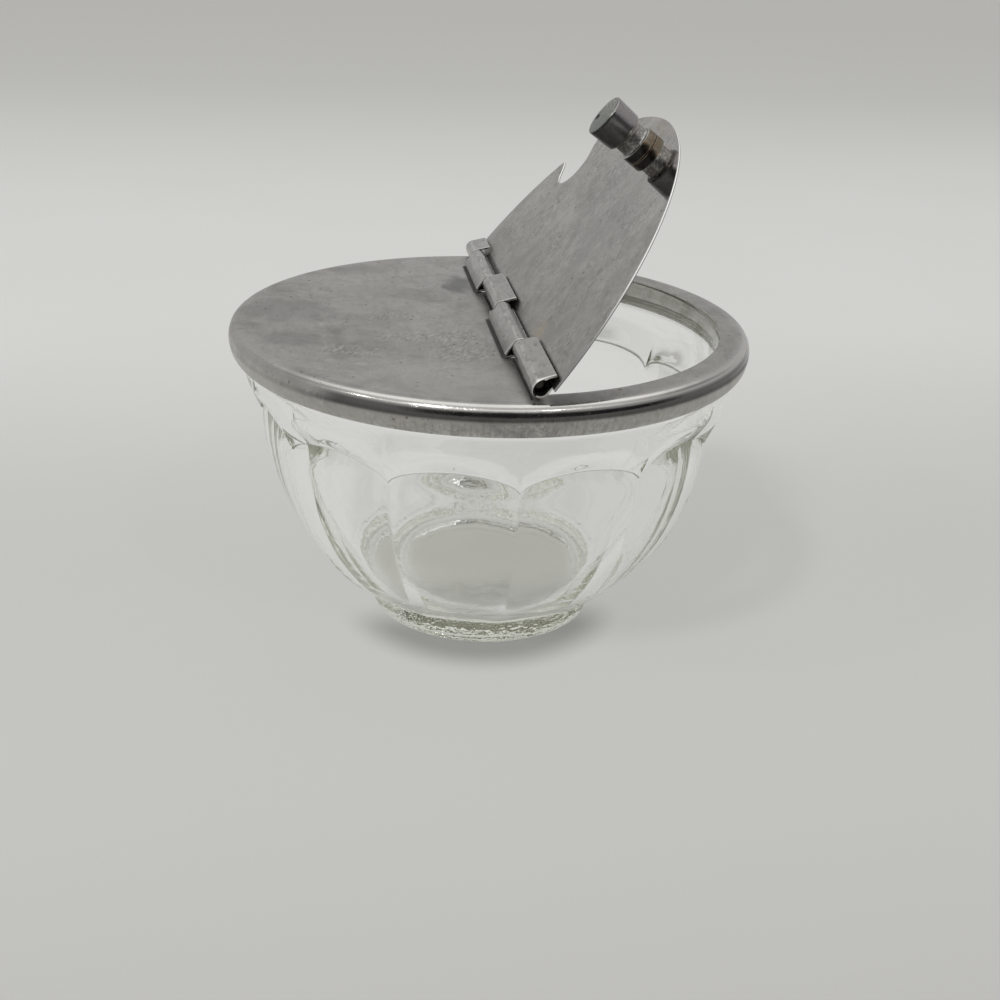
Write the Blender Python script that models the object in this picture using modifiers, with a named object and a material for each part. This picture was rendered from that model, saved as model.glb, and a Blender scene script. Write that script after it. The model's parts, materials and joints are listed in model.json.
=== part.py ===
# Condiment jar: a panelled pressed-glass bowl with a crimped metal lid, half of it hinged on a pin.
# Frame: metres, +Z up, origin at the middle of the foot, hinge pin parallel to Y, flap on the +X side.

import math

import bmesh
import bpy
from mathutils import Matrix, Vector

mm = 0.001

# Clearances and shared thicknesses
gap = 0.3 * mm
sheet = 0.5 * mm
overrun = 1.0 * mm
seam = 0.01 * mm
merge_distance = 0.001 * mm

# Facet counts
round_steps = 72
small_steps = 32
curve_steps = 8
bend_steps = 6
arc_steps = 14

# Lid: its flat top and the collar crimped round the glass bead
lid_top = 66.6 * mm
collar_radius = 56.0 * mm
collar_shoulder_width = 2.0 * mm
collar_shoulder_drop = 3.0 * mm
collar_height = 7.0 * mm
collar_knee_inset = 0.05 * mm
collar_knee_rise = 0.7 * mm
hem_tuck = 2.3 * mm
hem_clearance = 0.4 * mm
ring_width = 6.4 * mm
collar_bottom = lid_top - collar_height
collar_shoulder_foot = lid_top - collar_shoulder_drop
collar_knee_radius = collar_radius - collar_knee_inset
hem_radius = collar_radius - hem_tuck
mouth_radius = collar_radius - ring_width

# Glass bowl: plain band, moulded shoulder and flat panels below it
panel_count = 12
band_depth = 14.4 * mm
shoulder_drop = 6.8 * mm
shoulder_inset = 2.8 * mm
shoulder_round_drop = 2.6 * mm
shoulder_round_inset = 0.5 * mm
shoulder_root_drop = 1.4 * mm
cusp_drop = 5.7 * mm
cusp_inset = 2.3 * mm
arch_rise = 3.3 * mm
panel_inset = 1.1 * mm
panel_root_rise = 1.2 * mm
band_radius = hem_radius - sheet - hem_clearance
band_bottom = lid_top - band_depth
shoulder_end_radius = band_radius - shoulder_inset
shoulder_end_height = band_bottom - shoulder_drop
shoulder_root_height = shoulder_end_height - shoulder_root_drop
cusp_radius = band_radius - cusp_inset
cusp_height = band_bottom - cusp_drop
panel_top_radius = cusp_radius - panel_inset
panel_root_height = cusp_height + arch_rise + panel_root_rise

# Glass bowl: foot and the panels' lower ends
foot_height = 7.6 * mm
foot_radius = 25.4 * mm
foot_flare = 1.6 * mm
foot_chamfer = 0.7 * mm
toe_width = 3.0 * mm
toe_round = 0.9 * mm
toe_dip = 0.5 * mm
belly_rise = 13.4 * mm
foot_neck_radius = foot_radius + foot_flare
panel_bottom_radius = foot_neck_radius + toe_width
panel_toe_radius = panel_bottom_radius + toe_round
panel_toe_height = foot_height - toe_dip
panel_belly_height = foot_height + belly_rise

# Glass bowl: inside and rim
base_thickness = 10.6 * mm
rim_round = 1.5 * mm
rim_wall = 3.4 * mm
cavity_mouth_depth = 4.6 * mm
cavity_neck_depth = 5.0 * mm
cavity_bend_inset = 2.9 * mm
cavity_bend_rise = 5.5 * mm
cavity_waist_inset = 3.8 * mm
cavity_waist_rise = 2.0 * mm
cavity_belly_inset = 5.6 * mm
cavity_belly_rise = 11.4 * mm
cavity_toe_outset = 3.5 * mm
cavity_floor_inset = 9.0 * mm
glass_setback = sheet + gap
glass_top = lid_top - glass_setback
cavity_mouth_radius = band_radius - rim_wall
cavity_mouth_height = lid_top - cavity_mouth_depth
cavity_neck_height = cavity_mouth_height - cavity_neck_depth
cavity_bend_radius = cavity_mouth_radius - cavity_bend_inset
cavity_waist_radius = panel_top_radius - cavity_waist_inset
cavity_waist_height = cusp_height + cavity_waist_rise
cavity_bend_height = cavity_waist_height + cavity_bend_rise
cavity_belly_radius = panel_top_radius - cavity_belly_inset
cavity_belly_height = base_thickness + cavity_belly_rise
cavity_toe_radius = panel_bottom_radius + cavity_toe_outset
cavity_floor_radius = panel_bottom_radius - cavity_floor_inset

# Flap: edge and the notch for the spoon handle
flap_setback = 1.4 * mm
spoon_direction = math.radians(45.0)
spoon_width = 11.8 * mm
spoon_depth = 5.0 * mm
spoon_mouth_flare = 1.0 * mm
near_edge_steps = 30
far_edge_steps = 15
flap_radius = collar_radius - flap_setback
spoon_centre_radius = flap_radius - spoon_depth

# Hinge: pin, rolled knuckles and how far the flap stands open
pin_x = 2.5 * mm
pin_radius = 1.1 * mm
pin_round = 0.3 * mm
pin_end_setback = 2.5 * mm
knuckle_gap = 0.35 * mm
flap_tail_reach = 3.7 * mm
fixed_tail_reach = 3.1 * mm
flap_tail_lift = 0.3 * mm
fixed_tail_lift = 0.5 * mm
tab_overlap = 1.5 * mm
tab_ramp_start = 3.5 * mm
tab_ramp_end = 1.7 * mm
tab_relief = 0.4 * mm
cover_edge = 1.3 * mm
flap_edge = 1.7 * mm
rest_opening = math.radians(52.0)
tab_inner_radius = pin_radius + gap
tab_middle_radius = tab_inner_radius + sheet / 2
pin_height = lid_top + gap + sheet + tab_inner_radius

# Ends of the five knuckles along the pin, from the near side (-Y), as shares of the flap's radius
knuckle_end_shares = [-0.963, -0.520, -0.026, 0.359, 0.797, 0.978]
knuckle_ends = [share * flap_radius for share in knuckle_end_shares]

# Knob and the screw that holds it, whose head drops inside the mouth when the flap is closed
knob_height = 11.0 * mm
knob_flange_radius = 4.1 * mm
knob_flange_thickness = 1.9 * mm
knob_neck_radius = 3.4 * mm
knob_neck_rise = 0.3 * mm
knob_cap_radius = 4.65 * mm
knob_cap_taper = 0.3 * mm
knob_cap_thickness = 5.8 * mm
knob_cap_undercut = 0.3 * mm
knob_edge_round = 0.3 * mm
knob_crown = 0.05 * mm
screw_radius = 1.0 * mm
screw_head_radius = 2.0 * mm
screw_head_thickness = 1.3 * mm
screw_head_round = 0.5 * mm
screw_head_clearance = 0.6 * mm
screw_bite = 4.6 * mm
screw_tip_clearance = 0.4 * mm
screw_bore_radius = screw_radius + gap
screw_bore_depth = screw_bite + screw_tip_clearance
knob_distance = mouth_radius - screw_head_radius - screw_head_clearance - pin_x
knob_cap_foot = knob_height - knob_cap_thickness


def clear_scene():
    for item in list(bpy.data.objects):
        bpy.data.objects.remove(item, do_unlink=True)


def new_collection(name):
    collection = bpy.data.collections.new(name)
    bpy.context.scene.collection.children.link(collection)
    return collection


clear_scene()
jar_collection = new_collection("condiment_jar")
cutter_collection = new_collection("cutters")


# Outlines


def arc_points(centre, radius, start, end, steps):
    """Points on an arc, from one angle to another, ends included."""
    points = []
    for i in range(steps + 1):
        angle = start + (end - start) * i / steps
        points.append((centre[0] + radius * math.cos(angle), centre[1] + radius * math.sin(angle)))
    return points


def bezier_points(controls, steps):
    """Points on a Bezier curve of any order, ends included."""
    points = []
    order = len(controls) - 1
    for i in range(steps + 1):
        t = i / steps
        x = y = 0.0
        for k, control in enumerate(controls):
            weight = math.comb(order, k) * t ** k * (1 - t) ** (order - k)
            x += weight * control[0]
            y += weight * control[1]
        points.append((x, y))
    return points


def inset(points, distance):
    """The open outline moved to its right-hand side, mitred at its corners."""
    moved = []
    for i, point in enumerate(points):
        before = Vector(points[max(i - 1, 0)])
        here = Vector(point)
        after = Vector(points[min(i + 1, len(points) - 1)])
        sides = []
        for start, end in ((before, here), (here, after)):
            along = end - start
            if along.length > merge_distance:
                along.normalize()
                sides.append(Vector((along.y, -along.x)))
        normal = sum(sides, Vector((0.0, 0.0))).normalized()
        mitre = distance / normal.dot(sides[0])
        moved.append((here.x + normal.x * mitre, here.y + normal.y * mitre))
    return moved


# Objects


def add_object(name, mesh, collection):
    item = bpy.data.objects.new(name, mesh)
    collection.objects.link(item)
    return item


def evaluated_mesh(item):
    """The object's mesh with its modifiers or its curve's depth applied."""
    bpy.context.view_layer.update()
    graph = bpy.context.evaluated_depsgraph_get()
    mesh = bpy.data.meshes.new_from_object(item.evaluated_get(graph))
    bm = bmesh.new()
    bm.from_mesh(mesh)
    bmesh.ops.remove_doubles(bm, verts=bm.verts, dist=merge_distance)
    bm.to_mesh(mesh)
    bm.free()
    return mesh


def freeze(item):
    """Turns the object into a plain mesh in its own place."""
    mesh = evaluated_mesh(item)
    name = item.name
    frozen = add_object(name + "_frozen", mesh, item.users_collection[0])
    frozen.matrix_world = item.matrix_world.copy()
    bpy.data.objects.remove(item, do_unlink=True)
    frozen.name = name
    return frozen


def turned(name, profile, steps, collection):
    """A profile of radius and height, turned about Z."""
    mesh = bpy.data.meshes.new(name)
    vertices = [(radius, 0.0, height) for radius, height in profile]
    edges = [(i, i + 1) for i in range(len(profile) - 1)]
    mesh.from_pydata(vertices, edges, [])
    item = add_object(name, mesh, collection)
    screw = item.modifiers.new("turn", "SCREW")
    screw.axis = "Z"
    screw.angle = math.tau
    screw.steps = steps
    screw.render_steps = steps
    screw.use_merge_vertices = True
    screw.merge_threshold = merge_distance
    return item


def thicken(item, thickness, offset):
    solidify = item.modifiers.new("sheet", "SOLIDIFY")
    solidify.thickness = thickness
    solidify.offset = offset
    solidify.use_even_offset = True


def plate(name, outlines, thickness, collection):
    """A flat plate in the XY plane, its first outline the edge and the others holes."""
    curve = bpy.data.curves.new(name, "CURVE")
    curve.dimensions = "2D"
    curve.fill_mode = "BOTH"
    curve.extrude = thickness / 2
    for outline in outlines:
        spline = curve.splines.new("POLY")
        spline.points.add(len(outline) - 1)
        for point, (x, y) in zip(spline.points, outline):
            point.co = (x, y, 0.0, 1.0)
        spline.use_cyclic_u = True
    return freeze(add_object(name, curve, collection))


def strip(name, path, start, end, collection):
    """Sheet bent along a path of X and Z, a seam thinner than the sheet that it grows from."""
    mesh = bpy.data.meshes.new(name)
    bm = bmesh.new()
    near = [bm.verts.new((x, start, z)) for x, z in path]
    far = [bm.verts.new((x, end, z)) for x, z in path]
    for i in range(len(path) - 1):
        bm.faces.new((near[i], near[i + 1], far[i + 1], far[i]))
    bm.to_mesh(mesh)
    bm.free()
    item = add_object(name, mesh, collection)
    thicken(item, sheet - 2 * seam, 0.0)
    return freeze(item)


def boolean(item, tool, operation):
    step = item.modifiers.new(operation.lower(), "BOOLEAN")
    step.operation = operation
    step.solver = "EXACT"
    step.object = tool
    tool.hide_render = True
    tool.display_type = "WIRE"
    if tool.name not in cutter_collection.objects:
        for collection in list(tool.users_collection):
            collection.objects.unlink(tool)
        cutter_collection.objects.link(tool)


def smooth(item, degrees):
    item.data.shade_smooth()
    item.data.set_sharp_from_angle(angle=math.radians(degrees))


def material(name, colour, roughness, metallic):
    made = bpy.data.materials.new(name)
    made.use_nodes = True
    surface = made.node_tree.nodes["Principled BSDF"]
    surface.inputs["Base Color"].default_value = (*colour, 1.0)
    surface.inputs["Roughness"].default_value = roughness
    surface.inputs["Metallic"].default_value = metallic
    return made


def glass_material():
    made = material("pressed_glass", (0.86, 0.88, 0.78), 0.04, 0.0)
    surface = made.node_tree.nodes["Principled BSDF"]
    surface.inputs["Transmission Weight"].default_value = 1.0
    surface.inputs["IOR"].default_value = 1.5
    return made


def finish(item, surface, smooth_degrees=30.0):
    item.data.materials.clear()
    item.data.materials.append(surface)
    smooth(item, smooth_degrees)


# Glass bowl


def collar_outline():
    """The lid's outer line: an elliptical shoulder, then the skirt down to the hem."""
    centre = collar_radius - collar_shoulder_width
    shoulder = []
    for across, up in arc_points((0.0, 0.0), 1.0, math.pi / 2, 0.0, bend_steps):
        radius = centre + across * collar_shoulder_width
        shoulder.append((radius, collar_shoulder_foot + up * collar_shoulder_drop))
    skirt = bezier_points(
        [
            (collar_radius, collar_shoulder_foot),
            (collar_knee_radius, collar_bottom + collar_knee_rise),
            (hem_radius, collar_bottom),
        ],
        bend_steps,
    )
    return shoulder + skirt[1:]


def glass_upper():
    """Rim bead, plain band and shoulder, before the panel arches are cut."""
    bead = inset(collar_outline(), glass_setback)
    shoulder = bezier_points(
        [
            (band_radius, band_bottom),
            (band_radius - shoulder_round_inset, band_bottom - shoulder_round_drop),
            (shoulder_end_radius, shoulder_end_height),
        ],
        curve_steps,
    )
    neck = [(band_radius, collar_bottom)]
    profile = [(0.0, glass_top)] + bead + neck + shoulder
    profile += [(shoulder_end_radius, shoulder_root_height), (0.0, shoulder_root_height)]
    return turned("glass_bowl", profile, round_steps, jar_collection)


def arch_cutter(index):
    """The space under one arch, as a plate that stands square to its panel."""
    half_angle = math.pi / panel_count
    half_width = cusp_radius * math.sin(half_angle)
    bottom = shoulder_root_height - overrun
    outline = [(-half_width, bottom), (half_width, bottom)]
    for angle in [math.pi * i / arc_steps for i in range(arc_steps + 1)]:
        outline.append((half_width * math.cos(angle), cusp_height + arch_rise * math.sin(angle)))
    inner = panel_top_radius * math.cos(half_angle) - overrun
    depth = band_radius + overrun - inner
    cutter = plate(f"arch_{index}", [outline], depth, cutter_collection)
    turn = (2 * index + 1) * half_angle
    normal = Vector((math.cos(turn), math.sin(turn), 0.0))
    tangent = Vector((-math.sin(turn), math.cos(turn), 0.0))
    frame = Matrix((tangent, Vector((0.0, 0.0, 1.0)), normal)).transposed().to_4x4()
    cutter.matrix_world = Matrix.Translation(normal * (inner + depth / 2)) @ frame
    return cutter


def panel_core():
    """Twelve flat panels, turned from the line that their ridges follow."""
    ridge = bezier_points(
        [
            (panel_top_radius, cusp_height),
            (panel_top_radius, panel_belly_height),
            (panel_toe_radius, panel_toe_height),
            (panel_bottom_radius, foot_height),
        ],
        curve_steps,
    )
    profile = [(0.0, panel_root_height), (panel_top_radius, panel_root_height)] + ridge
    profile.append((0.0, foot_height))
    return turned("panel_core", profile, panel_count, cutter_collection)


def foot():
    profile = [
        (0.0, foot_height + overrun),
        (foot_neck_radius, foot_height + overrun),
        (foot_neck_radius, foot_height - overrun),
        (foot_radius, foot_chamfer),
        (foot_radius - foot_chamfer, 0.0),
        (0.0, 0.0),
    ]
    return turned("foot", profile, round_steps, cutter_collection)


def cavity():
    """The inside, with the rim's inner edge rounded over."""
    lip_centre = (cavity_mouth_radius + rim_round, glass_top - rim_round)
    lip = arc_points(lip_centre, rim_round, math.pi / 2, math.pi, curve_steps // 2)
    neck = bezier_points(
        [
            (cavity_mouth_radius, cavity_mouth_height),
            (cavity_mouth_radius, cavity_neck_height),
            (cavity_bend_radius, cavity_bend_height),
            (cavity_waist_radius, cavity_waist_height),
        ],
        bend_steps,
    )
    wall = bezier_points(
        [
            (cavity_waist_radius, cavity_waist_height),
            (cavity_belly_radius, cavity_belly_height),
            (cavity_toe_radius, base_thickness),
            (cavity_floor_radius, base_thickness),
        ],
        bend_steps * 2,
    )
    top = [(0.0, glass_top + overrun), (lip[0][0], glass_top + overrun)]
    profile = top + lip + neck[:-1] + wall + [(0.0, base_thickness)]
    return turned("cavity", profile, round_steps, cutter_collection)


def glass_bowl(surface):
    bowl = glass_upper()
    for index in range(panel_count):
        boolean(bowl, arch_cutter(index), "DIFFERENCE")
    boolean(bowl, panel_core(), "UNION")
    boolean(bowl, foot(), "UNION")
    boolean(bowl, cavity(), "DIFFERENCE")
    bowl = freeze(bowl)
    finish(bowl, surface, 20.0)


# Hinge knuckles


def knuckle_span(index):
    """One knuckle's start and end along the pin, a gap short of its neighbours."""
    return knuckle_ends[index] + knuckle_gap / 2, knuckle_ends[index + 1] - knuckle_gap / 2


def roll_path(tail):
    """Middle line of a sheet that passes under the pin, rolls over it and ends at tail, on +X."""
    tail_distance = math.hypot(*tail)
    leave = math.atan2(tail[1], tail[0]) + math.acos(tab_middle_radius / tail_distance)
    start = -math.pi / 2
    roll = arc_points((0.0, 0.0), tab_middle_radius, start, leave - math.tau, arc_steps)
    return roll + [tail]


def flap_knuckle(index):
    """A knuckle of the flap, in the flap's closed place about the pin."""
    tail = (flap_tail_reach, flap_tail_lift + sheet - tab_middle_radius)
    path = [(flap_edge + tab_overlap, -tab_middle_radius)] + roll_path(tail)
    return strip(f"flap_knuckle_{index}", path, *knuckle_span(index), cutter_collection)


def fixed_knuckle(index):
    """A knuckle of the fixed half: its tab ramps up from the cover and rolls the other way."""
    cover_middle = lid_top - sheet / 2 - pin_height
    tail = (fixed_tail_reach, fixed_tail_lift + sheet + cover_middle)
    path = [
        (tab_ramp_start + tab_overlap, cover_middle),
        (tab_ramp_start, cover_middle),
        (tab_ramp_end, -tab_middle_radius),
    ]
    path += roll_path(tail)
    mirrored = [(pin_x - x, pin_height + z) for x, z in path]
    return strip(f"fixed_knuckle_{index}", mirrored, *knuckle_span(index), cutter_collection)


def knuckle_indices(owner):
    """The flap has the end knuckles and every second one between them."""
    first = 0 if owner == "flap" else 1
    return range(first, len(knuckle_ends) - 1, 2)


# Fixed lid


def mouth_outline():
    """The half of the lid that is open, with a notch into the cover at each fixed tab."""
    edge_x = pin_x - cover_edge
    notch_x = pin_x - tab_ramp_start
    corner = math.acos(edge_x / mouth_radius)
    outline = arc_points((0.0, 0.0), mouth_radius, -corner, corner, round_steps // 2)
    for index in reversed(list(knuckle_indices("fixed"))):
        start, end = knuckle_span(index)
        low = start - tab_relief
        high = end + tab_relief
        outline += [(edge_x, high), (notch_x, high), (notch_x, low), (edge_x, low)]
    return outline


def fixed_lid(surface):
    shell = turned("fixed_lid", [(0.0, lid_top)] + collar_outline(), round_steps, jar_collection)
    thicken(shell, sheet, -1.0)
    mouth = plate("mouth", [mouth_outline()], 2 * (sheet + overrun), cutter_collection)
    mouth.location.z = lid_top - sheet / 2
    boolean(shell, mouth, "DIFFERENCE")
    for index in knuckle_indices("fixed"):
        boolean(shell, fixed_knuckle(index), "UNION")
    finish(freeze(shell), surface)


def hinge_pin(surface):
    start = knuckle_ends[0] + pin_end_setback
    end = knuckle_ends[-1] - pin_end_setback
    half = (end - start) / 2
    profile = [
        (0.0, half),
        (pin_radius - pin_round, half),
        (pin_radius, half - pin_round),
        (pin_radius, pin_round - half),
        (pin_radius - pin_round, -half),
        (0.0, -half),
    ]
    pin = turned("hinge_pin", profile, small_steps, jar_collection)
    pin.rotation_euler.x = -math.pi / 2
    pin.location = (pin_x, (start + end) / 2, pin_height)
    finish(pin, surface)


# Flap


def spoon_notch():
    """The notch's outline, from the flap's edge in and out again, about its own centre line."""
    half = spoon_width / 2
    flare = half + spoon_mouth_flare
    depth = spoon_centre_radius
    mouth = math.sqrt(flap_radius ** 2 - flare ** 2)
    far_side = [(mouth, flare), ((mouth + depth) / 2, half)]
    bottom = arc_points((depth, 0.0), half, math.pi / 2, math.pi * 3 / 2, arc_steps)
    near_side = [((mouth + depth) / 2, -half), (mouth, -flare)]
    return [Vector(point) for point in far_side + bottom + near_side]


def flap_outline():
    """Edge of the flap in its closed place, about the lid's centre."""
    chord_x = pin_x + flap_edge
    corner = math.acos(chord_x / flap_radius)
    flare_angle = math.asin((spoon_width / 2 + spoon_mouth_flare) / flap_radius)
    centre = (0.0, 0.0)
    near_arc = arc_points(centre, flap_radius, -corner, spoon_direction - flare_angle, near_edge_steps)
    far_arc = arc_points(centre, flap_radius, spoon_direction + flare_angle, corner, far_edge_steps)
    turn = Matrix.Rotation(spoon_direction, 2)
    notch = [tuple(turn @ point) for point in reversed(spoon_notch())]
    return near_arc + notch[1:-1] + far_arc


def flap(surface, hinge):
    outline = [(x - pin_x, y) for x, y in flap_outline()]
    hole = arc_points((knob_distance, 0.0), screw_bore_radius, 0.0, math.tau, small_steps)[:-1]
    leaf = plate("flap", [outline, hole], sheet, jar_collection)
    leaf.data.transform(Matrix.Translation((0.0, 0.0, -tab_middle_radius)))
    for index in knuckle_indices("flap"):
        boolean(leaf, flap_knuckle(index), "UNION")
    leaf = freeze(leaf)
    leaf.parent = hinge
    finish(leaf, surface)


def knob(surface, hinge):
    profile = [
        (0.0, knob_height + knob_crown),
        (knob_cap_radius - knob_edge_round, knob_height),
        (knob_cap_radius, knob_height - knob_edge_round),
        (knob_cap_radius - knob_cap_taper, knob_cap_foot),
        (knob_neck_radius, knob_cap_foot - knob_cap_undercut),
        (knob_neck_radius, knob_flange_thickness + knob_neck_rise),
        (knob_flange_radius, knob_flange_thickness),
        (knob_flange_radius, 0.0),
        (screw_bore_radius, 0.0),
        (screw_bore_radius, screw_bore_depth),
        (0.0, screw_bore_depth),
    ]
    item = turned("knob", profile, small_steps, jar_collection)
    item.parent = hinge
    item.location = (knob_distance, 0.0, gap - tab_inner_radius)
    finish(item, surface)


def knob_screw(surface, hinge):
    shank_top = gap + sheet + gap + screw_bite
    profile = [
        (0.0, shank_top),
        (screw_radius, shank_top),
        (screw_radius, 0.0),
        (screw_head_radius, 0.0),
        (screw_head_radius, screw_head_round - screw_head_thickness),
        (screw_head_radius - screw_head_round, -screw_head_thickness),
        (0.0, -screw_head_thickness),
    ]
    item = turned("knob_screw", profile, small_steps, jar_collection)
    item.parent = hinge
    item.location = (knob_distance, 0.0, -tab_inner_radius - sheet - gap)
    finish(item, surface)


def hinge_empty():
    """Carries all that turns with the flap: its origin is on the pin's axis."""
    hinge = bpy.data.objects.new("flap_hinge", None)
    jar_collection.objects.link(hinge)
    hinge.location = (pin_x, 0.0, pin_height)
    hinge.rotation_euler.y = -rest_opening
    return hinge


def build():
    glass = glass_material()
    lid_steel = material("lid_steel", (0.50, 0.49, 0.46), 0.42, 1.0)
    flap_steel = material("flap_steel", (0.46, 0.45, 0.43), 0.38, 1.0)
    pin_steel = material("pin_steel", (0.40, 0.39, 0.37), 0.35, 1.0)
    knob_steel = material("knob_steel", (0.42, 0.41, 0.39), 0.22, 1.0)
    screw_steel = material("screw_steel", (0.38, 0.36, 0.34), 0.40, 1.0)
    hinge = hinge_empty()
    glass_bowl(glass)
    fixed_lid(lid_steel)
    hinge_pin(pin_steel)
    flap(flap_steel, hinge)
    knob(knob_steel, hinge)
    knob_screw(screw_steel, hinge)


build()
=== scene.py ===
import json
import math

import bmesh
import bpy
import numpy as np
from mathutils import Matrix, Vector

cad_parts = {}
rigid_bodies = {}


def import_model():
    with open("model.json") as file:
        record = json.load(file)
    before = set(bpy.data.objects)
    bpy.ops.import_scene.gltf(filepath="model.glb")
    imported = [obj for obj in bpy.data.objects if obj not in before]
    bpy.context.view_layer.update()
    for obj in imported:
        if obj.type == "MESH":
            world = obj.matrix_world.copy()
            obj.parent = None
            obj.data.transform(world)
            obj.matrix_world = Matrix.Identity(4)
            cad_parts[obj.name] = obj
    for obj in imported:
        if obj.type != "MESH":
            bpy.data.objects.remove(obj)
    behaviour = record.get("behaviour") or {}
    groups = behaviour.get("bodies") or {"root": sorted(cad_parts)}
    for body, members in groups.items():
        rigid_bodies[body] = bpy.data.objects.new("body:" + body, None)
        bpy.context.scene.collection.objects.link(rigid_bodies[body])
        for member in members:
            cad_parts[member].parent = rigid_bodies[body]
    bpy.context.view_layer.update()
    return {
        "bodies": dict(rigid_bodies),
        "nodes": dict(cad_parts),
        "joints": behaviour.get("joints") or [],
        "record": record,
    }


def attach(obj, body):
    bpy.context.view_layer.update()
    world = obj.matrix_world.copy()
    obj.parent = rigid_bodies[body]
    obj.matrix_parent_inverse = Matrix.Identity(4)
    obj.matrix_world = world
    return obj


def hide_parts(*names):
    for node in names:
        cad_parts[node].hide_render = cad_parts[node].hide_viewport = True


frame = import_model()
scene = bpy.context.scene
scene.view_settings.view_transform = "Standard"
scene.cycles.max_bounces = 32  # light that is mirrored many times inside the thick glass
scene.cycles.transmission_bounces = 32
scene.cycles.glossy_bounces = 32
mm = 0.001
print("frame loaded:", ", ".join(sorted(frame["nodes"])))

# Lengths are in millimetres, in the frame of the CAD, until a mesh is made.


def bezier(controls, t):
    order = len(controls) - 1
    weights = [math.comb(order, k) * t ** k * (1 - t) ** (order - k) for k in range(order + 1)]
    return np.stack(weights, -1) @ np.array(controls, float)


def arc(centre, radius, start, end, steps):
    angle = np.radians(np.linspace(start, end, steps + 1))
    return np.stack([centre[0] + radius * np.cos(angle), centre[1] + radius * np.sin(angle)], -1)


def softened(points, step, reach):  # the line again in even steps, its corners eased over a length of reach
    points = np.array(points, float)
    run = np.concatenate([[0], np.cumsum(np.linalg.norm(np.diff(points, axis=0), axis=1))])
    count = int(run[-1] / step)
    places = np.linspace(0, run[-1], count + 1)
    offsets = np.linspace(-reach, reach, 9)
    weights = np.cos(offsets / reach * math.pi / 2) ** 2 + 0.05
    eased = []
    for place in places:
        room = min(place, run[-1] - place, reach) / reach
        spots = place + offsets * room
        eased.append([np.average(np.interp(spots, run, points[:, k]), weights=weights) for k in (0, 1)])
    return np.array(eased)


def lattice(rows, columns, closed):
    faces = []
    for i in range(rows - 1):
        for j in range(columns if closed else columns - 1):
            k = (j + 1) % columns
            faces.append((i * columns + j, i * columns + k, (i + 1) * columns + k, (i + 1) * columns + j))
    return faces


def tidyMesh(mesh):
    bm = bmesh.new()
    bm.from_mesh(mesh)
    bmesh.ops.remove_doubles(bm, verts=bm.verts, dist=0.002 * mm)
    bmesh.ops.recalc_face_normals(bm, faces=bm.faces)
    bm.to_mesh(mesh)
    bm.free()


def meshFrom(name, points, faces):
    mesh = bpy.data.meshes.new(name)
    mesh.from_pydata((np.array(points, float) * mm).tolist(), [], faces)
    tidyMesh(mesh)
    return mesh


def turned(name, outline, steps):  # an outline of radius and height, turned about Z
    angle = np.arange(steps) * math.tau / steps
    points = [(r * c, r * s, z) for r, z in outline for c, s in zip(np.cos(angle), np.sin(angle))]
    return meshFrom(name, points, lattice(len(outline), steps, True))


def placed(name, data):
    item = bpy.data.objects.new(name, data)
    scene.collection.objects.link(item)
    return item


def withModifiers(name, mesh, steps):  # the mesh after a list of modifiers, each a type and its settings
    item = placed(name, mesh)
    for kind, settings in steps:
        step = item.modifiers.new(kind.lower(), kind)
        for key, value in settings.items():
            setattr(step, key, value)
    bpy.context.view_layer.update()
    made = bpy.data.meshes.new_from_object(item.evaluated_get(bpy.context.evaluated_depsgraph_get()))
    bpy.data.objects.remove(item, do_unlink=True)
    made.name = name
    return made


def addPiece(name, mesh, finish, body, nodes, place=None, sharp=32.0):
    if place:
        mesh.transform(place)
    piece = placed(name, mesh)
    mesh.materials.clear()
    mesh.materials.append(finish)
    mesh.shade_smooth()
    mesh.set_sharp_from_angle(angle=math.radians(sharp))
    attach(piece, body)
    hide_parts(*nodes)
    piece.visible_diffuse = False  # the floor keeps the lamp's shadow, not the studio's
    print("made", name, len(mesh.vertices), "points")
    return piece


# Shader sums as Python


class Wire:
    def __init__(self, sheet, socket):
        self.sheet = sheet
        self.socket = socket

    def __add__(self, other):
        return self.sheet.sum("ADD", self, other)

    def __radd__(self, other):
        return self.sheet.sum("ADD", other, self)

    def __sub__(self, other):
        return self.sheet.sum("SUBTRACT", self, other)

    def __rsub__(self, other):
        return self.sheet.sum("SUBTRACT", other, self)

    def __mul__(self, other):
        return self.sheet.sum("MULTIPLY", self, other)

    def __rmul__(self, other):
        return self.sheet.sum("MULTIPLY", other, self)

    def __neg__(self):
        return self.sheet.sum("SUBTRACT", 0, self)


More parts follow.
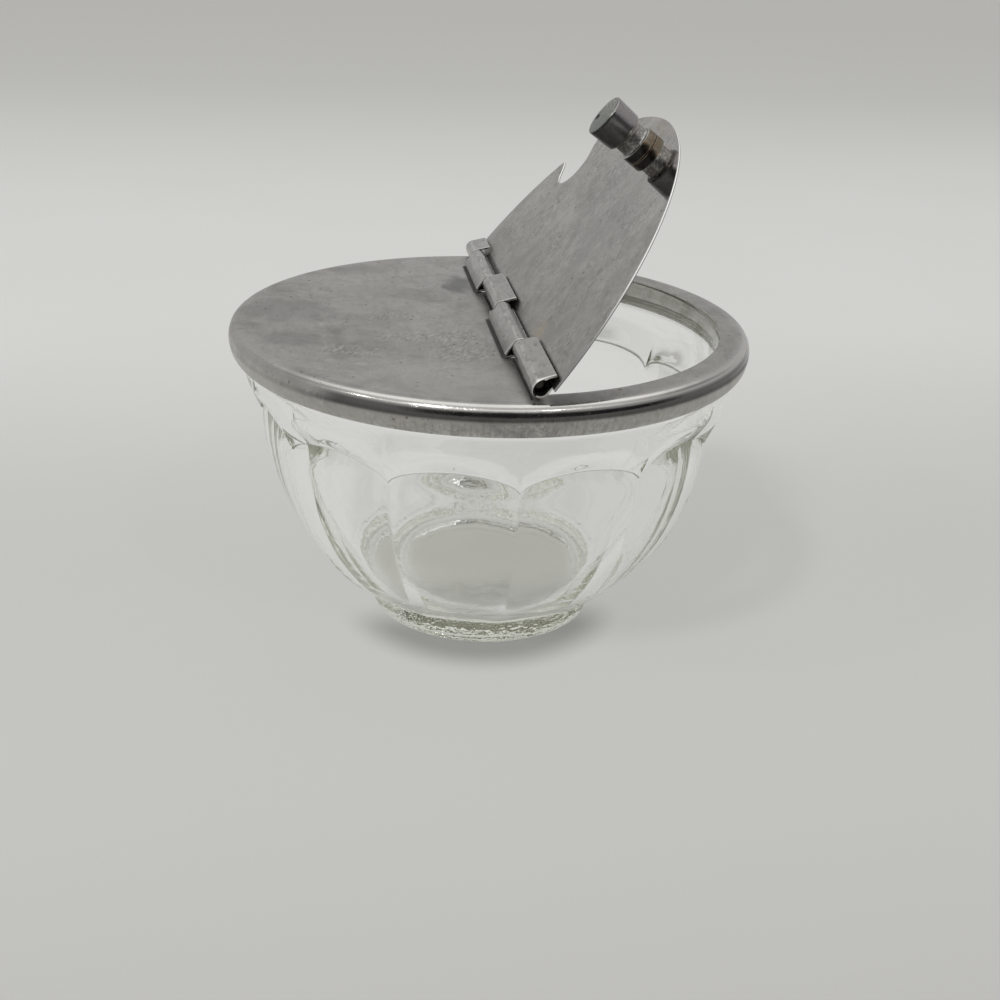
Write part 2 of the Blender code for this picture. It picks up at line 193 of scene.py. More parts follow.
class NodeSheet:
    def __init__(self, owner):
        owner.use_nodes = True
        self.tree = owner.node_tree

    def node(self, kind, settings=None, values=None, out=0):
        made = self.tree.nodes.new(kind)
        for key, value in (settings or {}).items():
            setattr(made, key, value)
        for key, value in (values or {}).items():
            self.feed(made.inputs[key], value)
        return Wire(self, made.outputs[out])

    def feed(self, socket, value):
        if isinstance(value, Wire):
            self.tree.links.new(value.socket, socket)
        else:
            socket.default_value = value

    def sum(self, operation, first, second):
        return self.node("ShaderNodeMath", {"operation": operation}, {0: first, 1: second})

    def size(self, value):
        return self.sum("ABSOLUTE", value, 0)

    def root(self, value):
        return self.sum("SQRT", value, 0)

    def distance(self, first, second):
        return self.root(first * first + second * second)

    def oval(self, x, y, atX, atY, wide, deep):  # 0 in its middle, 1 on its edge
        return self.distance((x - atX) * (1 / wide), (y - atY) * (1 / deep))

    def smaller(self, first, second):
        return self.sum("MINIMUM", first, second)

    def step(self, value, low, high):  # 0 at low, 1 at high, eased between
        values = {"Value": value, "From Min": low, "From Max": high}
        return self.node("ShaderNodeMapRange", {"interpolation_type": "SMOOTHSTEP"}, values)

    def within(self, value, low, lowFull, highFull, high):  # 1 from lowFull to highFull
        return self.step(value, low, lowFull) * (1 - self.step(value, highFull, high))

    def near(self, value, full, gone):  # 1 where the value is about 0
        return 1 - self.step(self.size(value), full, gone)

    def blend(self, share, first, second):  # colours
        values = {0: share, 6: first, 7: second}
        return self.node("ShaderNodeMix", {"data_type": "RGBA", "clamp_factor": True}, values, 2)

    def start(self, tone):
        self.colour = tone + (1,)

    def coat(self, share, tone):  # a share of one tone over the colour so far
        self.colour = self.blend(share, self.colour, tone + (1,))

    def layer(self, look, value, where=1):  # a coat where a value has passed a limit
        low, high, share, tone = look
        self.coat(self.step(value, low, high) * share * where, tone)

    def parts(self, vector):
        made = self.node("ShaderNodeSeparateXYZ", {}, {0: vector})
        return [Wire(self, socket) for socket in made.socket.node.outputs]

    def vector(self, x, y, z):
        return self.node("ShaderNodeCombineXYZ", {}, {0: x, 1: y, 2: z})

    def mapped(self, kind, place, turn, stretch, shift):
        rotation = (0, 0, math.radians(turn))
        values = {"Vector": place, "Rotation": rotation, "Location": shift, "Scale": stretch}
        return self.node("ShaderNodeMapping", {"vector_type": kind}, values)

    def laid(self, place, turn=0, stretch=(1, 1, 1), shift=(0, 0, 0)):
        return self.mapped("POINT", place, turn, stretch, shift)

    def drawnOut(self, place, turn, length, width, shift=(0, 0, 0)):  # longer where it is turned to
        return self.mapped("TEXTURE", place, turn, (length, width, length), shift)

    def noise(self, place, scale, detail=2, rough=0.5, warp=0):
        values = {"Vector": place, "Scale": scale, "Detail": detail, "Roughness": rough, "Distortion": warp}
        return self.node("ShaderNodeTexNoise", {}, values)


class Finish(NodeSheet):
    def __init__(self, name, frame=None):  # frame: the piece's own place, where it isn't that of the jar
        self.material = bpy.data.materials.new(name)
        super().__init__(self.material)
        self.surface = self.tree.nodes["Principled BSDF"]
        where = self.node("ShaderNodeTexCoord", out="Object")
        scaled = {0: where, "Scale": 1 / mm}
        self.place = self.node("ShaderNodeVectorMath", {"operation": "SCALE"}, scaled)  # in millimetres
        if frame:
            back = frame.inverted()
            values = {"Vector": self.place, "Location": back.translation / mm, "Rotation": back.to_euler()}
            self.place = self.node("ShaderNodeMapping", {"vector_type": "POINT"}, values)

    def pattern(self, look, shift=(0, 0, 0), place=None):  # a noise after a turn and a stretch
        turn, stretch, *noise = look
        return self.noise(self.laid(place or self.place, turn, stretch, shift), *noise)

    def put(self, **sockets):
        for name, value in sockets.items():
            self.feed(self.surface.inputs[name.replace("_", " ")], value)

    def relief(self, height, distance):
        values = {"Height": height, "Distance": distance * mm, "Strength": 1}
        self.put(Normal=self.node("ShaderNodeBump", {}, values))

    def strokes(self, place, turn, length, width, thin, patch, shift):
        # short scratches: thin level lines of a stretched noise, kept in patches
        lines = self.noise(self.drawnOut(place, turn, length, width, shift), 1, 1, 0.5, 0.2)
        line = self.near(lines - 0.5, thin * 0.3, thin)
        where = self.noise(self.laid(place, turn, (1, 1.6, 1), shift), 0.075, 2)
        return line * self.step(where, patch, patch + 0.12)

    def specks(self, place, scale, size, share):
        values = {"Vector": place, "Scale": scale, "Randomness": 1}
        dots = self.node("ShaderNodeTexVoronoi", {}, values)
        close = 1 - self.step(dots, size * 0.5, size)
        chosen = self.parts(Wire(self, dots.socket.node.outputs["Color"]))[0]
        return close * self.step(chosen, 1 - share, 1 - share + 0.02)


# Finishes
# A noise is its scale, detail, roughness and warp, and a pattern has a turn and a stretch before them. A layer
# is where it starts, where it is full, its share and its tone. A mark is its direction, length, width, line and
# how rare its patches are.

steelLooks = {
    "lid": {
        "tone": (0.4, 0.39, 0.372), "rough": 0.36, "shift": (3, 7, 1), "strokes": 0.9, "stain": 0.4,
        "mottle": 0.9,
        "marks": [(12, 5, 0.3, 0.034, 0.5), (-28, 4, 0.3, 0.032, 0.52), (70, 3, 0.28, 0.03, 0.56)],
    },
    "flap": {
        "tone": (0.432, 0.418, 0.395), "rough": 0.27, "shift": (31, 11, 5), "strokes": 1, "stain": 0.26,
        "marks": [(4, 3.6, 0.3, 0.04, 0.5), (-16, 4.5, 0.34, 0.036, 0.52), (62, 3, 0.3, 0.03, 0.6)],
    },
    "hinge": {
        "tone": (0.455, 0.448, 0.425), "rough": 0.17, "shift": (13, 41, 9), "strokes": 0.45, "stain": 0.3,
    },
    # darkened as painted shade, where the pin shows in the mouths of the rolls
    "pin": {
        "tone": (0.13, 0.125, 0.115), "rough": 0.5, "shift": (5, 2, 8), "strokes": 0.3, "stain": 0.3,
    },
    # near-black, painted shade inside the rolls
    "paintedShade": {
        "tone": (0.035, 0.034, 0.031), "rough": 0.6, "shift": (2, 6, 3), "strokes": 0.1, "stain": 0.3,
    },
    "screw": {
        "tone": (0.42, 0.4, 0.36), "rough": 0.34, "shift": (9, 4, 2), "strokes": 0.4, "stain": 0.3,
    },
}
steelWear = {
    "cloud": (0, (1, 1, 1), 0.055, 4, 0.55, 0.6),
    "mottle": (0, (1, 0.55, 1), 0.46, 4, 0.65, 0.3),
    "fine": (18, (1, 3, 1), 1.9, 3, 0.6),
    "grain": (0, (1, 0.55, 1), 1.5, 4, 0.7),
    "marks": [(38, 4, 0.28, 0.036, 0.54), (-24, 5, 0.32, 0.03, 0.56), (81, 3, 0.26, 0.034, 0.58)],
    "specks": [(0.42, 0.17, 0.3), (1.1, 0.2, 0.16)],
    "dark": 0.56, "light": 1.16, "bright": 1.55,
    "rust": (0.105, 0.06, 0.03),
    "relief": 0.05,
}


def shade(tone, share):
    return tuple(part * share for part in tone)


def wornSteel(name, look, frame=None):
    finish = Finish(name, frame)
    coat, layer, pattern = finish.coat, finish.layer, finish.pattern
    place, shift, wear = finish.place, look["shift"], steelWear
    cloudy = pattern(wear["cloud"], shift)
    mottle = pattern(wear["mottle"])
    fine = pattern(wear["fine"], shift)
    grain = pattern(wear["grain"], shift)
    stain = finish.step(cloudy, 0.5, 0.74)
    pale = finish.step(cloudy, 0.48, 0.3)
    strokes = 0
    for mark in look.get("marks", wear["marks"]):
        strokes = finish.strokes(place, *mark, shift) + strokes
    strokes = finish.smaller(strokes, 1) * look["strokes"]
    specks = finish.specks(place, *wear["specks"][0]) + finish.specks(place, *wear["specks"][1])
    tone, mottled = look["tone"], look.get("mottle", 1)
    dark, light, bright = [shade(tone, wear[name]) for name in ("dark", "light", "bright")]
    finish.start(tone)
    coat(pale * 0.7, light)
    coat(stain * (look["stain"] * 2.2), dark)
    layer((0.42, 0.7, 0.34 * mottled, dark), mottle)
    layer((0.5, 0.72, 0.34 * mottled, dark), grain)
    layer((0.46, 0.26, 0.3 * mottled, light), grain)
    coat(strokes * 0.6, bright)
    coat(finish.smaller(specks, 1) * 0.75, wear["rust"])
    finish.cloudy = cloudy
    finish.rough = look["rough"] + (mottle - 0.5) * 0.22 + stain * 0.1 - pale * 0.05
    finish.rough = finish.rough + (fine - 0.5) * 0.1 + specks * 0.2
    finish.height = cloudy * 3 + mottle * 0.25 + fine * 0.05 - strokes * 0.1 - specks * 0.15
    finish.put(Metallic=1, Roughness=finish.rough)
    finish.relief(finish.height, wear["relief"])
    return finish


def plainSteel(name, look, frame=None):
    finish = wornSteel(name, steelLooks[look], frame)
    finish.put(Base_Color=finish.colour)
    return finish.material


lidWear = {
    "cloud": (20, (1, 0.6, 1), 0.17, 4, 0.65, 0.6),
    "darkCloud": (0.53, 0.66, 0.3, (0.24, 0.233, 0.22)),
    "paleCloud": (0.45, 0.34, 0.2, (0.56, 0.55, 0.53)),
    "stainAndShadeTone": (0.15, 0.147, 0.14),
    "spots": [  # x, y, half width, half depth, share
        (-44, 7, 11, 9, 0.42),
        (-43, -14, 8, 7, 0.4),
        (-29, 0, 12, 4, 0.2),
        (-27, -19, 7, 5, 0.22),
        (-7, -48, 6, 7, 0.28),
        # beside roll B: painted shade of the dip there; the other spots are stains
        (-4.5, 26, 4.5, 8, 0.9),
        (-26, 40, 9, 5, 0.25),
    ],
    "scuffs": [  # x, y, half width, half depth
        (-17, -13, 15, 5),
        (-32, -22, 8, 6),
        (-7, -23, 8, 8),
        (-21, 1, 6, 3),
    ],
    "scratch": (1, 4, 0.7, 0.9),
    "scratchDark": (0.51, 0.58, 0.46, (0.17, 0.165, 0.155)),
    "scratchPale": (0.47, 0.41, 0.34, (0.66, 0.65, 0.62)),
    "ring": (4, 16, 0.14, (0.2, 0.196, 0.188)),
    # painted highlight towards the front edge of the flat top
    "front": (22, 44, 0.26, (0.56, 0.55, 0.53)),
    "shadowLineTone": (0.035, 0.033, 0.03),
    "shadowLineFixed": 3.62,  # painted shadow lines, this far from the pin, beside the rolls of the cover and those of the flap
    "shadowLineMoving": 1.5,
    "marks": (0, (1.4, 0.16, 1), 1, 4, 0.7),
    "patches": (0, (0.1, 0.3, 1), 1, 3, 0.6),
    "skirtMarks": (0.48, 0.62, 0.4, (0.19, 0.185, 0.175)),
    "pits": (1, 4, 0.75),
    "skirtPits": (0.52, 0.64, 0.45, (0.17, 0.165, 0.155)),
    "skirtRubbed": (0.45, 0.34, 0.35, (0.7, 0.69, 0.66)),
    "skirtSidesLit": (0.62, 0.61, 0.58),
    "hem": (0.5, 0.36, 0.5, (0.66, 0.65, 0.62)),
    "rubbedAndLitRollTone": (0.64, 0.625, 0.6),
    "highlightGapTone": (0.16, 0.155, 0.15),
    "highlightGapAt": 2.28,
    # painted reflection of the dark front, under the shoulder
    "paintedDarkReflection": (24, 33, 0.78, (0.042, 0.04, 0.04)),
}


def lidSteel():
    finish = wornSteel("lid_steel_worn", steelLooks["lid"])
    step, coat, layer = finish.step, finish.coat, finish.layer
    wear = lidWear
    x, y, z = finish.parts(finish.place)
    up = z - lidSize["shoulderFoot"]
    toTop = z - lidSize["top"]
    toFront = x * 0.35 - y
    alongRim = finish.vector(finish.sum("ARCTAN2", x, -y) * lidSize["radius"], z, 0)
    flat = step(toTop, -0.12, -0.06)
    skirt = 1 - step(up, -0.9, -0.1)
    hem = 1 - step(z, lidSize["bottom"] + 0.3, lidSize["bottom"] + 2.2)
    shoulder = step(up, 0.1, 1) * (step(toFront, 12, 44) * 0.75 + 0.25)  # rubbed pale, and paler in front as a painted highlight
    shoulder = shoulder * (1 - step(toTop, -0.3, -0.12))
    paintedHighlightGap = step(-y, 26, 44) - step(finish.size(up - wear["highlightGapAt"]), 0.08, 0.26)  # a painted dark line between the two highlights on the front of the shoulder
    cloud = finish.pattern(wear["cloud"])
    layer(wear["darkCloud"], cloud, flat)
    layer(wear["paleCloud"], cloud, flat)
    for *place, share in wear["spots"]:
        spot = 1 - step(finish.oval(x, y, *place) + (cloud - 0.5) * 2.2, 0.45, 1.1)
        # stains, and painted shade beside roll B
        coat(flat * spot * share, wear["stainAndShadeTone"])
    smooth = finish.noise(finish.place, 0.045)
    scuffed = 0
    for place in wear["scuffs"]:
        scuffed = scuffed + (1 - step(finish.oval(x, y, *place) + (smooth - 0.5) * 2, 0.5, 1.1))
    scratch = finish.noise(finish.drawnOut(finish.place, 62, 1.9, 0.62), *wear["scratch"])
    layer(wear["scratchDark"], scratch, flat * scuffed)
    layer(wear["scratchPale"], scratch, flat * scuffed)
    layer(wear["ring"], x, flat)
    # painted highlight: the flat top paler towards its front edge
    layer(wear["front"], -y, flat * (1 - step(x, 0, 10)))
    # painted shadow lines on the cover beside each roll
    paintedShade = 0
    for index in range(5):
        low, high = knuckleSpan(index)
        beside = x - pinPlace["x"] + (wear["shadowLineFixed"] if index in fixedKnuckles else wear["shadowLineMoving"])
        along = finish.within(y, low - 0.1, low + 0.2, high - 0.2, high + 0.1)
        paintedShade = paintedShade + along * finish.near(beside, 0.1, 0.34)
    coat(flat * finish.smaller(paintedShade, 1) * 0.85, wear["shadowLineTone"])
    marks = finish.pattern(wear["marks"], place=alongRim)
    layer(wear["skirtMarks"], marks, skirt)
    pits = finish.noise(finish.place, *wear["pits"])
    layer(wear["skirtPits"], pits, skirt)
    layer(wear["skirtRubbed"], pits, skirt)
    # painted light: the skirt paler towards its sides
    coat(skirt * finish.size(x) * 0.012, wear["skirtSidesLit"])
    layer(wear["hem"], marks, skirt * hem)
    # rubbed shoulder, partly a painted highlight
    coat(shoulder * 0.7, wear["rubbedAndLitRollTone"])
    # painted shade line between the shoulder's highlights
    coat(paintedHighlightGap * 0.62, wear["highlightGapTone"])
    # painted reflection: a dark band below the shoulder, in front
    layer(wear["paintedDarkReflection"], toFront, finish.within(up, -0.5, 0.15, 1.3, 2.2))
    patches = finish.pattern(wear["patches"], place=alongRim)
    rough = finish.rough + skirt * (patches - 0.45) * 0.25 - shoulder * 0.24
    finish.put(Base_Color=finish.colour, Roughness=rough)
    return finish.material


def lidInsidePaled():  # dull where the sheet was never rubbed, and pale as painted light on the faces that look in or down
    finish = Finish("lid_steel_inside_paled")
    cloudy = finish.noise(finish.place, 0.3, 4, 0.6)
    finish.start((0.53, 0.522, 0.482))
    finish.layer((0.35, 0.7, 1, (0.37, 0.362, 0.33)), cloudy)
    finish.put(Base_Color=finish.colour, Metallic=0.35, Roughness=0.5 + cloudy * 0.2)
    finish.relief(cloudy, steelWear["relief"])
    return finish.material


flapWear = {
    "mirrorAt": -14,  # the middle of the smooth place that mirrors the knob, along the hinge
    "mirrorEnds": (19, 27),
    "mirrorRough": 0.018,
    "smudge": (0, (0.6, 1.6, 1), 0.5, 4, 0.7),
    "feather": (1, 5, 0.75, 1),
    "patch": (-12, (0.9, 0.8, 1), 0.095, 3, 0.6, 0.5),
    "blotch": (-6, (0.42, 0.38, 1), 0.42, 5, 0.65, 0.7),
    "lowTone": (0.26, 0.25, 0.23),
    "blotchDark": (0.53, 0.58, 0.26, (0.22, 0.21, 0.195)),
    "blotchPale": (0.42, 0.34, 0.16, (0.6, 0.57, 0.54)),
    "scuffTone": (0.18, 0.172, 0.16),
    "shinyTone": (0.62, 0.61, 0.58),
    "shadeBesideRolls": [(3, 1.3), (1, 0.5)],  # painted shade beside the fixed rolls: the roll it lies beside, and how wide it is
    "shadeBesideRollsTone": (0.025, 0.024, 0.022),
    "yellowTone": (0.46, 0.37, 0.22),
    "knobStain": (0.36, 0.27, 0.17),
    "edgeShadeTone": (0.085, 0.085, 0.083),
    "edgeHighlightTone": (0.92, 0.91, 0.89),
}


def flapSteel(frame):
    finish = wornSteel("flap_steel_worn", steelLooks["flap"], frame)
    step, coat, layer = finish.step, finish.coat, finish.layer
    wear = flapWear
    x, y, z = finish.parts(finish.place)
    up = z - flapSize["top"]
    fromKnob = (x - knobSize["away"]) * 0.8
    away = finish.distance(fromKnob, y)
    aside = finish.distance(fromKnob, y - wear["mirrorAt"])
    mirror = (1 - step(aside + finish.cloudy * 5, *wear["mirrorEnds"])) * step(up, -0.3, -0.1)
    smudge = finish.pattern(wear["smudge"])
    feather = finish.noise(finish.drawnOut(finish.place, 14, 1.25, 1.05), *wear["feather"])
    patchy = step(finish.pattern(wear["patch"]), 0.46, 0.6)
    blotch = finish.pattern(wear["blotch"])
    scuffed = step(feather, 0.52, 0.6) * patchy
    shiny = step(feather, 0.45, 0.38) * patchy
    coat((1 - step(x, 4, 26)) * 0.35, wear["lowTone"])
    layer(wear["blotchDark"], blotch)
    layer(wear["blotchPale"], blotch)
    coat(scuffed * 0.62, wear["scuffTone"])
    # painted shade: a near-black strip on the leaf beside the fixed rolls
    shadeBesideRolls = 0
    for index, wide in wear["shadeBesideRolls"]:
        low, high = knuckleSpan(index)
        along = finish.within(y, low - 0.2, low + 0.2, high - 0.2, high + 0.2)
        shadeBesideRolls = shadeBesideRolls + along * (1 - step(x, 1.6 + wide * 0.6, 1.8 + wide))
    coat(shadeBesideRolls * 0.9, wear["shadeBesideRollsTone"])
    fromStainMiddle = finish.size(y - knuckleSpan(1)[0] - 2) * 0.22 + finish.size(x - 4) * 0.2 + feather
    yellow = (1 - step(fromStainMiddle, 0.9, 1.5)) * step(feather, 0.44, 0.52)
    coat(yellow * 0.55, wear["yellowTone"])
    coat(shiny * 0.4, wear["shinyTone"])
    stain = step(away, 4, 4.6) * (1 - step(away + feather * 3, 5.5, 10))
    stain = stain * step(x - y, knobSize["away"], knobSize["away"] + 4)
    coat(stain * 0.3, wear["knobStain"])
    cut = finish.within(up, -0.6, -0.54, -0.07, -0.03)  # the cut edge, painted dark as shade, its upper half painted pale as a highlight
    coat(cut, wear["edgeShadeTone"])
    # painted highlight on the edge's upper part, stronger away from the hinge
    rubbed = step(up, -0.34, -0.29) * (step(x, 6, 30) * 0.78 + 0.22)
    coat(cut * rubbed, wear["edgeHighlightTone"])
    smooth = wear["mirrorRough"] + step(smudge, 0.5, 0.75) * 0.06
    rough = finish.rough * (1 - mirror) + mirror * smooth + scuffed * 0.08
    finish.put(Base_Color=finish.colour, Roughness=rough, Metallic=1 - cut * 0.9)
    finish.relief(finish.height * (1 - mirror * 0.92), steelWear["relief"])
    return finish.material


hingeWear = {
    "rubbed": (0, (1, 0.25, 1), 1.2, 3, 0.6),
    "rubbedTone": (0.23, 0.225, 0.215),
    "crestHighlightTone": (0.74, 0.73, 0.71),
    "lowShadeTone": (0.15, 0.145, 0.135),
    "wornAndLitEndTone": (0.8, 0.79, 0.76),
    "rampShadeTone": (0.035, 0.034, 0.031),
}


def hingeSteel():  # rubbed and painted bright as a highlight at the near ends, dull with painted shade low down beside the cover, a painted highlight along the crest
    finish = wornSteel("hinge_steel_worn", steelLooks["hinge"])
    wear = hingeWear
    x, y, z = finish.parts(finish.place)
    fromPin, overPin = x - pinPlace["x"], z - pinPlace["z"]
    wornAndLitEnds = 0
    for index in range(5):
        wornAndLitEnds = wornAndLitEnds + finish.near(y - knuckleSpan(index)[0] - 0.1, 0.15, 0.55)
    # painted highlight stripe along each roll
    crestHighlight = finish.near(fromPin + 0.75, 0.1, 0.45)
    rubbed = finish.pattern(wear["rubbed"])
    dull = (1 - finish.step(overPin, -0.9, 0.9)) * finish.step(fromPin, -0.6, -1.4)
    ramp = 1 - finish.step(overPin, -2, -1.8)  # painted shade on the ramps up to the fixed rolls
    finish.coat(finish.step(rubbed, 0.5, 0.66) * 0.45, wear["rubbedTone"])
    finish.coat(crestHighlight * finish.step(rubbed, 0.56, 0.42) * 0.5, wear["crestHighlightTone"])
    # painted shade low on each roll beside the cover
    finish.coat(dull * 0.55, wear["lowShadeTone"])
    # near ends worn, and painted bright as a highlight
    finish.coat(finish.smaller(wornAndLitEnds, 1) * 0.7, wear["wornAndLitEndTone"])
    finish.coat(ramp * 0.92, wear["rampShadeTone"])
    finish.put(Base_Color=finish.colour, Roughness=finish.rough + dull * 0.12 + ramp * 0.3)
    return finish.material


knobLook = {
    "rough": 0.24,
    "cloud": (0.35, 4, 0.6, 0.4),
    "fine": (3.2, 3, 0.65),
    "flecks": (0, (1, 0.6, 1), 1.9, 4, 0.75),
    "lathe": (0, (0.25, 6, 1), 1, 3),
    "streaks": (0, (1.2, 0.35, 1), 1, 4, 0.7),
    "crust": (1.1, 5, 0.65, 0.8),
    "tone": (0.25, 0.246, 0.236),
    "clouded": (0.4, 0.66, 1, (0.16, 0.157, 0.149)),
    "brushed": (0.55, 0.72, 0.3, (0.36, 0.35, 0.33)),
    "capShadedSide": (0.125, 0.125, 0.133),
    "capLitSide": (-0.4, 2.8, 0.8, (0.35, 0.325, 0.335)),
    "face": (0.2, 0.209, 0.188),
    "faceFlecks": (0.46, 0.465, 0.43),
    # painted shade in the crease round the top face
    "join": (0.04, 0.04, 0.04),
    "capFlecks": (0.48, 0.36, 0.35, (0.07, 0.07, 0.074)),
    # near-black, painted shade in the dent
    "dent": (0.02, 0.02, 0.02),
    "neck": (4.3, 2.6, 0.5, (0.27, 0.26, 0.245)),
    "neckShadedSide": (0.075, 0.073, 0.07),
    "neckFlecks": (0.47, 0.6, 0.55, (0.58, 0.57, 0.54)),
    "flange": (0.03, 0.028, 0.026),
    "flangeStain": (0.12, 0.105, 0.08),
    "flangeDust": (0.235, 0.205, 0.165),
    "rust": (0.42, 0.26, 0.135),
    # painted highlight on the flange's top edge
    "edge": (0.62, 0.61, 0.58),
    "seat": (0.46, 0.4, 0.33),
    "relief": 0.035,
}


def knobSteel(frame):
    finish = Finish("knob_steel_worn", frame)
    step, coat, layer = finish.step, finish.coat, finish.layer
    look = knobLook
    x, y, z = finish.parts(finish.place)
    across = finish.distance(x, y)
    aroundRim = finish.vector(finish.sum("ARCTAN2", y, x) * 4, z, 0)
    cloudy = finish.noise(finish.place, *look["cloud"])
    fine = finish.noise(finish.place, *look["fine"])
    flecks = finish.pattern(look["flecks"])
    crust = finish.noise(finish.place, *look["crust"])
    rings = finish.noise(finish.vector(across, z, 0), 5)
    brushed = finish.pattern(look["lathe"], place=aroundRim)
    streaks = finish.pattern(look["streaks"], place=aroundRim)
    flange = 1 - step(z, 1.7, 1.85)
    side = step(x * 0.9 - y * 0.3, 0.8, 3.4)  # rust where the flange faces the knob's end of the flap
    rusted = finish.smaller(step(crust, 0.52, 0.62) + step(streaks, 0.6, 0.66), 1)
    rust = flange * side * rusted
    seat = 1 - step(z, -0.06, 0.02)
    edge = finish.within(z, 1.72, 1.84, 1.93, 2.05) * step(across, 3.7, 3.9)
    cap = step(z, 4.9, 5.15)
    neck = step(z, 1.95, 2.1) * (1 - cap)
    face = step(z, 10.8, 10.93)
    join = step(z, 10.25, 10.55) * (1 - face)
    dent = 1 - step(finish.distance(x - knobSize["dent"][0], y - knobSize["dent"][1]), 0.45, 0.85)
    finish.start(look["tone"])
    layer(look["clouded"], cloudy)
    layer(look["brushed"], brushed)
    # painted shade and light: the cap darker on its -x side, paler on its +x side
    coat(cap * (1 - step(x, -2.6, 1.6)) * 0.75, look["capShadedSide"])
    layer(look["capLitSide"], x, cap)
    coat(face, look["face"])
    speckled = face * step(flecks, 0.49, 0.57) * (step(x, -1.5, 2.5) * 0.72 + 0.14)
    coat(speckled, look["faceFlecks"])
    # painted shade in the crease between the top face and the rim, darker on the -x side
    coat(join * (1 - step(x, -0.5, 2.4) * 0.75) * 0.8, look["join"])
    layer(look["capFlecks"], flecks, cap * (1 - face))
    # painted shade in the dent
    coat(dent * face, look["dent"])
    layer(look["neck"], z, neck)
    # painted shade on the neck's -x side
    coat(neck * (1 - step(x, -2, 1.2)) * 0.45, look["neckShadedSide"])
    layer(look["neckFlecks"], flecks, neck)
    coat(flange * 0.92, look["flange"])
    coat(flange * side * 0.45, look["flangeStain"])
    coat(flange * side * 0.75, look["flangeDust"])
    coat(rust * 0.7, look["rust"])
    # painted highlight: a pale line round the flange's top edge
    coat(edge * 0.5, look["edge"])
    coat(seat * 0.8, look["seat"])
    rough = look["rough"] + (fine - 0.5) * 0.14 + (cloudy - 0.5) * 0.12
    rough = rough + rust * 0.3 + face * 0.12 + neck * 0.1
    finish.put(Base_Color=finish.colour, Metallic=1, Roughness=rough)
    finish.relief(rings * 0.5 + fine * 0.35 + cloudy * 0.8 + rust * 0.6, look["relief"])
    return finish.material


glassLook = {
    "ior": 1.5,
    "rough": 0.028,
    "tint": (0.945, 0.958, 0.88, 1),
    "density": 17,
    "wave": (0, (1, 1, 0.55), 0.11, 3, 0.5, 0.4),
    "smears": (0, (1, 1, 0.4), 0.16, 4, 0.6),
    "chips": (0, (1, 1, 1.2), 0.42, 2, 0.5, 0.3),
    "arch": (0.26, 0.27, 0.25),  # the shaded line under each ledge
    "relief": 0.08,
}


def pressedGlass():
    finish = Finish("pressed_glass_clear")
    look = glassLook
    x, y, z = finish.parts(finish.place)
    across = finish.distance(x, y)
    wave, smears, chips = [finish.pattern(look[name]) for name in ("wave", "smears", "chips")]
    seed = finish.noise(finish.place, 0.9)
    foot = 1 - finish.step(z, 7.4, 8.2)
    chips = chips * foot * finish.step(across, 21, 24)
    lap = finish.sum("FRACT", finish.sum("ARCTAN2", y, x) * (glassSize["panels"] / math.tau), 0)
    lap = finish.size(lap * 2 - 1)  # 1 on the ridges, 0 in the middle of a panel
    soft = glassSize["cuspSoft"]
    lap = 1 - (finish.root((1 - lap) * (1 - lap) + soft * soft) - soft) * (1 / (math.hypot(1, soft) - soft))
    archAt = finish.root(1 - lap * lap) * glassSize["rise"] + glassSize["cusp"]
    line = finish.near(z - archAt - 0.02, 0.12, 0.28) * finish.step(across, 47.3, 47.6)
    finish.start((1, 1, 1))
    finish.coat(line * 0.8, look["arch"])
    rough = look["rough"] * (1 - foot * 0.5) * (1 - finish.step(z, 44, 48) * 0.5)
    rough = rough + finish.step(smears, 0.55, 0.8) * 0.02
    finish.put(Base_Color=finish.colour, Roughness=rough, Transmission_Weight=1, IOR=look["ior"])
    finish.relief(wave + seed * 0.02 + chips * 2.4, look["relief"])
    depth = finish.node("ShaderNodeVolumeAbsorption", {}, {"Color": look["tint"], "Density": look["density"]})
    finish.feed(finish.tree.nodes["Material Output"].inputs["Volume"], depth)
    return finish.material


floorLook = {
    "tone": (0.56, 0.56, 0.545),
    "far": (250, 1500, 1, (0.512, 0.506, 0.487)),
    "near": (-60, -190, 1, (0.5, 0.495, 0.478)),
    "middle": (0.69, 0.69, 0.675),
    "middleEnds": (10, 230, 330, 900),
    "cloud": (0.3, 0.7, 0.05, (0.512, 0.506, 0.487)),
    # painted shadow under the bowl
    "under": (0.315, 0.315, 0.25),
    "touch": (0.26, 0.26, 0.245),
    "through": (0.71, 0.71, 0.695),
    "throughEnds": (22.5, 31, 150, 420),
}


def paleFloor():
    finish = Finish("pale_floor")
    look = floorLook
    x, y, z = finish.parts(finish.place)
    across = finish.distance(x, y)
    ahead = finish.distance(x + 1, y + 5)
    finish.start(look["tone"])
    finish.layer(look["far"], y)
    finish.layer(look["near"], y)
    finish.coat(finish.within(y, *look["middleEnds"]), look["middle"])
    finish.layer(look["cloud"], finish.noise(finish.place, 0.012, 3))
    # painted shadow on the floor under the bowl, whose glass casts none
    finish.coat((1 - finish.step(across, 19, 26)) * 0.6, look["under"])
    touch = (1 - finish.step(ahead, 23, 34)) * finish.step(-y, 4, 20)  # the shade where the foot stands
    finish.coat(touch * 0.86, look["touch"])
    through = finish.node("ShaderNodeLightPath", out="Is Transmission Ray")
    finish.coat(through * finish.within(across, *look["throughEnds"]) * 0.7, look["through"])
    finish.put(Base_Color=finish.colour, Roughness=0.75, Specular_IOR_Level=0.2)
    return finish.material


# Lid: flat top, rolled shoulder and skirt, with the mouth open on the flap's side

